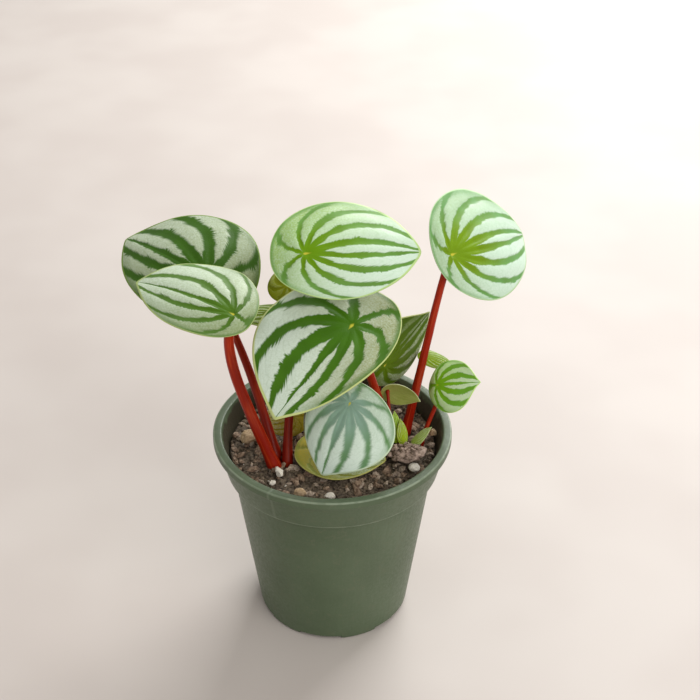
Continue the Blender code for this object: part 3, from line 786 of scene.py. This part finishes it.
def build_crown(name, ribs):
    """A ribbed knob that fills its measured box and goes on down into the soil."""
    low, high = (Vector(corner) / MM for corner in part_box(name))
    middle = (low + high) / 2
    radius = (high.x - low.x) / 2
    foot = low.z - CROWN_SUNK
    rings = [[Vector((middle.x, middle.y, foot)) * MM]]
    levels = 18
    for level in range(1, levels):
        rise = level / levels * math.pi / 2
        height = foot + (high.z - foot) * math.sin(rise)
        wide = radius * 1.25 * math.cos(rise) ** 0.45
        ring = []
        for k in range(48):
            angle = 2 * math.pi * k / 48
            rib = 1 + 0.14 * abs(math.cos(ribs * angle / 2)) - 0.07
            out = Vector((math.cos(angle), math.sin(angle), 0)) * wide * rib
            ring.append((Vector((middle.x, middle.y, height)) + out) * MM)
        rings.append(ring)
    rings.append([Vector((middle.x, middle.y, high.z)) * MM])
    maps = [level / levels for level in range(levels + 1)]
    return loft(name + "_skin", rings, maps, [0] * levels, [lit_red])


for name, ribs in CROWNS.items():
    crown = build_crown(name, ribs)
    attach(crown, "root")
    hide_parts(name)
    say(crown)

# %% [markdown]
# The pot is moulded in one piece from thin plastic. Its section is drawn once and turned round
# the axis: up the tapered outside, over the step under the collar, round the rolled lip and
# down the inside. Short arcs round off every corner of the section, because a moulded corner is
# never sharp and its highlight shows that. The foot notches and drain slots are cut afterwards.

# %% The pot's section
RIM, MOUTH, TALL = 51.0, 47.4, 92.0             # outer and inner radius at the lip, height, mm
LIP, COLLAR = 3.6, 17.0                         # how far down the lip and the collar reach
STEP = TALL - COLLAR                            # height of the step under the collar
COLLAR_TOP, COLLAR_FOOT, BODY_TOP, FOOT = 49.2, 46.0, 43.6, 33.4
WALL, BASE = 1.2, 2.0


def inner_radius(height):
    """Radius of the inside of the pot at a height."""
    share = (height - BASE) / (STEP - BASE)
    if share <= 1:
        return FOOT - WALL + share * (BODY_TOP - FOOT)
    share = (height - STEP) / COLLAR
    return BODY_TOP - WALL + share * (MOUTH - BODY_TOP + WALL)


def round_corners(corners, steps=4):
    """A section with an arc for each corner; a corner is (radius, height, rounding)."""
    section = []
    for i, (r, h, rounding) in enumerate(corners):
        here = Vector((r, h))
        if rounding == 0:
            section.append(here)
            continue
        before = Vector(corners[i - 1][:2]) - here
        after = Vector(corners[i + 1][:2]) - here
        start = here + before.normalized() * min(rounding, before.length * 0.48)
        end = here + after.normalized() * min(rounding, after.length * 0.48)
        for k in range(steps + 1):
            s = k / steps
            section.append(start * (1 - s) ** 2 + here * 2 * s * (1 - s) + end * s ** 2)
    return section


section = round_corners([
    (0, 0, 0), (FOOT, 0, 1.0), (BODY_TOP - 0.15, STEP - 0.2, 0.35), (COLLAR_FOOT, STEP, 0.45),
    (COLLAR_TOP, TALL - LIP, 0.4), (RIM - 0.2, TALL - LIP, 0.4), (RIM, TALL - LIP + 0.6, 0.3),
    (RIM, TALL, 0.75), (MOUTH, TALL, 0.6), (inner_radius(STEP), STEP, 1.5),
    (inner_radius(BASE), BASE, 1.5), (0, BASE, 0)])
print("pot section:", len(section), "points")


# %% Turn the section and cut the notches
NOTCHES = 6
FIRST_NOTCH = -100        # degrees from +X


def turned(name, section, segments, material):
    """A closed solid of revolution from a section that starts and ends on the axis."""
    round_way = [2 * math.pi * k / segments for k in range(segments)]
    rings = [[Vector((r * math.cos(angle), r * math.sin(angle), h)) * MM
              for angle in (round_way if r > 0 else [0.0])] for r, h in section]
    maps = [h / TALL for _, h in section]
    return loft(name, rings, maps, [0] * (len(rings) - 1), [material])


def ring_of_boxes(name, inner, outer, width, height):
    """Boxes round the foot, one for each notch."""
    shell = bmesh.new()
    for k in range(NOTCHES):
        turn = Matrix.Rotation(math.radians(FIRST_NOTCH + 360 / NOTCHES * k), 4, "Z")
        middle = Matrix.Translation(Vector(((inner + outer) / 2, 0, height / 2 - 1)) * MM)
        size = Matrix.Diagonal(((outer - inner) * MM, width * MM, (height + 2) * MM, 1))
        bmesh.ops.create_cube(shell, size=1.0, matrix=turn @ middle @ size)
    return from_shell(name, shell)


def cut(piece, cutter):
    """Cuts one piece with another and drops the cutter."""
    change = piece.modifiers.new("cut", "BOOLEAN")
    change.operation = "DIFFERENCE"
    change.solver = "EXACT"
    change.object = cutter
    bpy.context.view_layer.update()
    seen = piece.evaluated_get(bpy.context.evaluated_depsgraph_get())
    piece.data = bpy.data.meshes.new_from_object(seen)
    piece.modifiers.clear()
    bpy.data.objects.remove(cutter)


# %% [markdown]
# Nursery pots are satin, dark green and never quite even: the plastic has faint flow lines up
# its side, and handling and watering leave it slightly dusty. A faint seam from the mould shows
# on the collar. The lip and the edge of the step get a pale painted highlight, the corner under
# the step gets painted shade, and the inside of the wall is darker from just under the lip
# down. Each of these marks is a mask, and a mask is mostly a soft stripe: it rises between two
# heights and falls again between two more.

# %% Plain pot plastic
def stripe(value, rise, drop):
    """A soft stripe: it rises between two limits and falls between two more."""
    return times(step(value, *rise), step(value, *drop, 1.0, 0.0))


finish, tree, shader = new_material("nursery_green")
patch = use_group(tree, mottle, Patch_mm=26.0, Grain_mm=1.4)
fine = use_group(tree, mottle, Patch_mm=5.0, Grain_mm=0.35)
where = place(tree, "ShaderNodeTexCoord").outputs["Object"]
flow_at = place(tree, "ShaderNodeMapping", Vector=where, Scale=(420.0, 420.0, 16.0)).outputs[0]
flow = cloud(flow_at)
plastic = mix(patch["Patches"], tone("505F46"), tone("57664D"))
dusty = step(times(patch["Grain"], fine["Patches"]), 0.35, 0.95, 0.0, 0.16)
clean = mix(dusty, plastic, tone("7C7864"))

# %% Marks on the pot
place_mm = place(tree, "ShaderNodeVectorMath", {"operation": "SCALE"}, Vector=where, Scale=1 / MM)
x, y, height = place(tree, "ShaderNodeSeparateXYZ", Vector=place_mm.outputs[0]).outputs
from_axis = calc("SQRT", plus(calc("POWER", x, 2.0), calc("POWER", y, 2.0)))
across = calc("ABSOLUTE", plus(times(x, 0.866), times(y, -0.5)))
seam = times(step(across, 0.2, 0.9, 1.0, 0.0), step(height, STEP - 1, STEP),
             step(y, -20.0, -15.0, 1.0, 0.0))
clean = mix(times(seam, 0.16), clean, tone("969E8A"))
# Painted shade in the corner under the step.
shade_under_step = stripe(height, (STEP - 2.2, STEP - 0.2), (STEP - 0.1, STEP))
clean = mix(times(shade_under_step, 0.45), clean, tone("2C3628"))
# Painted highlights: a pale line along the edge of the step and along the outer edge of the lip,
# broken up by noise.
step_highlight = stripe(height, (STEP - 0.1, STEP + 0.1), (STEP + 0.5, STEP + 1.0))
lip_highlight = times(step(height, TALL - 0.8, TALL - 0.3), step(from_axis, RIM - 0.9, RIM - 0.4))
edge_highlights = calc("MAXIMUM", times(step_highlight, 0.30), times(lip_highlight, 0.60))
edge_highlights = times(edge_highlights, step(fine["Patches"], 0.2, 0.8, 0.6, 1.0))
clean = mix(edge_highlights, clean, tone("9CA892"))
slope = (MOUTH - inner_radius(STEP)) / COLLAR
past_wall = minus(from_axis, times(height, slope))
wall_at = inner_radius(STEP) - STEP * slope
# The inside of the wall is darkened from just under the lip down.
inside = times(step(height, 60.0, 61.0), step(past_wall, wall_at + 0.5, wall_at + 0.7, 1.0, 0.0),
               step(plus(height, times(fine["Patches"], 2.0)), TALL - 2.2, TALL - 0.2, 0.9, 0.0))
feed(mix(inside, clean, tone("383024")), shader["Base Color"])
feed(step(patch["Grain"], 0.0, 1.0, 0.38, 0.50), shader["Roughness"])
feed(0.34, shader["Specular IOR Level"])
add_bump(shader, plus(flow, times(fine["Height"], 0.4), seam), 0.00007)

# %% Pot
pot = turned("nursery_pot", section, 192, finish)
cut(pot, ring_of_boxes("notches", 27, 55, 19, 1.6))
cut(pot, ring_of_boxes("drains", 25, 31, 7, 4))
pot.data.polygons.foreach_set("use_smooth", [True] * len(pot.data.polygons))
pot.data.set_sharp_from_angle(angle=math.radians(35))
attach(pot, "root")
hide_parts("pot")
say(pot)

# %% [markdown]
# The soil is peat with shredded bark. Its top is a fine ring mesh pushed up and down by noise
# at three sizes: broad heaps, lumps and crumbs. Separate crumbs, chips and grains then lie on
# it, since a real surface like this is made of loose bits that cast their own small shadows.

# %% Soil top
LUMPS = ((0.8, 2.6, 21), (0.45, 1.1, 33))       # height, spacing and seed of the finer lumps
CLEAR = 0.25              # from the soil to the pot's wall, mm
SOIL_ROWS = 78


def soil_height(x, y):
    """Height of the packed soil, in mm: the measured heaps, with lumps and crumbs added."""
    heaps = noise(Vector((x / 14, y / 14, 3))) + 0.5 * noise(Vector((x / 6, y / 6, 9)))
    lumps = [high * noise(Vector((x / wide, y / wide, seed))) for high, wide, seed in LUMPS]
    return SOIL_TOP + SOIL_BUMP * heaps + sum(lumps)


edge = inner_radius(SOIL_TOP - 0.8) - CLEAR
soil_section = [(0, BASE + 0.3), (inner_radius(BASE) - 0.6, BASE + 0.3),
                (inner_radius(STEP) - 0.3, STEP), (edge, SOIL_TOP - 1.5)]
soil_section += [(edge * row / SOIL_ROWS, SOIL_TOP) for row in range(SOIL_ROWS - 1, -1, -1)]
print("soil radius at the top:", round(edge, 2), "mm")


# %% Soil material
def earthy(name, dark, light, grain_mm, roughness, depth):
    """A dull, crumbly finish between two colours."""
    material, tree, shader = new_material(name)
    marks = use_group(tree, mottle, Patch_mm=grain_mm * 5, Grain_mm=grain_mm, Detail=4.0)
    colour = mix(marks["Grain"], dark, light)
    feed(mix(times(marks["Patches"], 0.5), colour, dark), shader["Base Color"])
    feed(roughness, shader["Roughness"])
    add_bump(shader, marks["Height"], depth)
    return material


peat = earthy("peat", tone("342A20"), tone("867664"), 1.2, 0.95, 0.0004)
soil = turned("peat_soil", soil_section, 200, peat)
for vertex in soil.data.vertices:
    if abs(vertex.co.z - SOIL_TOP * MM) < 1e-7:
        vertex.co.z = soil_height(vertex.co.x / MM, vertex.co.y / MM) * MM
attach(soil, "root")
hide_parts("soil")
say(soil)

# %% [markdown]
# One helper makes every loose bit. It takes a small ball, stretches it, and cuts flats on it by
# pushing each point in to a few random planes, as splitting does to bark and crushing does to
# perlite. A fixed seed makes the scatter the same each time.

# %% Loose bits
def add_bit(shell, seed_number, centre, half, turn, flats=7, detail=1):
    """Adds one closed chip or grain to a mesh, all in mm."""
    dice = random.Random(seed_number)
    planes = []
    for _ in range(flats):
        way = any_way(dice).normalized()
        planes.append((way, dice.uniform(0.55, 0.85)))
    made = bmesh.ops.create_icosphere(shell, subdivisions=detail, radius=1.0)["verts"]
    lay = Matrix.Translation(centre) @ turn.to_4x4() @ Matrix.Diagonal((*half, 1.0))
    for vertex in made:
        point = vertex.co.copy()
        for way, limit in planes:
            past = point.dot(way) - limit
            if past > 0:
                point -= way * past
        point *= 1 + 0.10 * noise(point * 2.5 + Vector((seed_number, 0, 0)))
        vertex.co = (lay @ point) * MM


def any_way(dice):
    """A random direction in space."""
    return Vector((dice.gauss(0, 1), dice.gauss(0, 1), dice.gauss(0, 1)))


def random_turn(dice, tilt):
    """A free turn about the vertical and a limited tilt."""
    heading = Matrix.Rotation(dice.uniform(0, 2 * math.pi), 3, "Z")
    return (heading @ Matrix.Rotation(dice.uniform(-tilt, tilt), 3, "X")
            @ Matrix.Rotation(dice.uniform(-tilt, tilt), 3, "Y"))


# %% Scatter the bits
def scatter(name, count, size, flatness, tilt, material, seed_number, detail=1):
    """Loose bits of one kind all over the soil."""
    dice = random.Random(seed_number)
    shell = bmesh.new()
    for k in range(count):
        out = (edge - 1.2) * math.sqrt(dice.random())
        angle = dice.uniform(0, 2 * math.pi)
        x, y = out * math.cos(angle), out * math.sin(angle)
        long = dice.uniform(*size)
        half = (long, long * dice.uniform(0.45, 0.8), long * dice.uniform(*flatness))
        centre = Vector((x, y, soil_height(x, y) + half[2] * dice.uniform(-0.1, 0.7)))
        add_bit(shell, seed_number * 1000 + k, centre, half, random_turn(dice, tilt), detail=detail)
    bits = from_shell(name, shell, [material])
    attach(bits, "root")
    print(name, count, "bits")
    return bits


bark_brown = earthy("bark_brown", tone("5C4636"), tone("AC947E"), 0.9, 0.85, 0.0002)
bark_grey = earthy("bark_grey", tone("806E60"), tone("C8B6A4"), 0.8, 0.9, 0.0002)
bark_pale = earthy("bark_pale", tone("68564A"), tone("C4AC9E"), 1.6, 0.9, 0.0003)
perlite = earthy("perlite", tone("CEC6B8"), tone("ECE6DC"), 0.7, 0.9, 0.00015)
tan_stone = earthy("tan_stone", tone("A88C6C"), tone("D6BE9C"), 0.8, 0.85, 0.0002)
scatter("peat_crumbs", 700, (0.5, 1.7), (0.5, 0.9), 0.9, peat, 11)
scatter("bark_chips", 230, (1.0, 4.2), (0.25, 0.5), 0.7, bark_brown, 12)
scatter("grey_chips", 190, (0.9, 3.6), (0.25, 0.5), 0.7, bark_grey, 13)
scatter("white_crumbs", 46, (0.35, 0.95), (0.6, 0.9), 0.9, perlite, 14, detail=2).data.shade_smooth()

# %% [markdown]
# The larger grains lie where the measured model has them. Each is made a little lumpier than
# its measured stand-in and sinks slightly into the crumbs. The large chunk of bark at the right
# is split and shaggy, so splinters are set all over its upper side.

# %% Large grains
GRAINS = {"grain_tan_left": tan_stone, "grain_white_stem": perlite, "grain_small_front": perlite,
          "grain_tan_front": tan_stone, "grain_white_front": perlite, "grain_white_right": perlite,
          "grain_cream_right": tan_stone, "grain_bark_right": bark_pale}
GRAIN_SUNK = 0.7          # how far the middle of a grain lies under its measured place, mm
SPLINTERS = 90


def add_splinters(shell, centre, half):
    """Splinters of bark over the upper side of a chunk."""
    dice = random.Random(77)
    for k in range(SPLINTERS):
        way = any_way(dice)
        way.z = abs(way.z)
        at = centre + way.normalized() * half * 0.92
        long = dice.uniform(0.8, 2.6)
        add_bit(shell, 7000 + k, at, (long, long * 0.55, long * 0.35), random_turn(dice, 0.6))


for number, (name, material) in enumerate(GRAINS.items()):
    low, high = (Vector(corner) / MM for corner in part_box(name))
    half = (high - low) / 2
    centre = (low + high) / 2 - Vector((0, 0, GRAIN_SUNK))
    shell = bmesh.new()
    add_bit(shell, 500 + number, centre, half * 1.12, Matrix.Rotation(0.2, 3, "Z"), 9, 4)
    if name == "grain_bark_right":
        add_splinters(shell, centre, half)
    grain = from_shell(name + "_stone", shell, [material])
    grain.data.shade_smooth()
    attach(grain, "root")
    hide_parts(name)
    say(grain)

# %% [markdown]
# The finished plant must still fill the measured box, so both boxes are written down side
# by side.

# %% Compare the boxes and finish
visual_low, visual_high = [[float(v) for v in corner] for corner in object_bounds()]
sides = zip(visual_low + visual_high, measured_low + measured_high)
print("box differences, mm:", [round((after - before) / MM, 2) for after, before in sides])
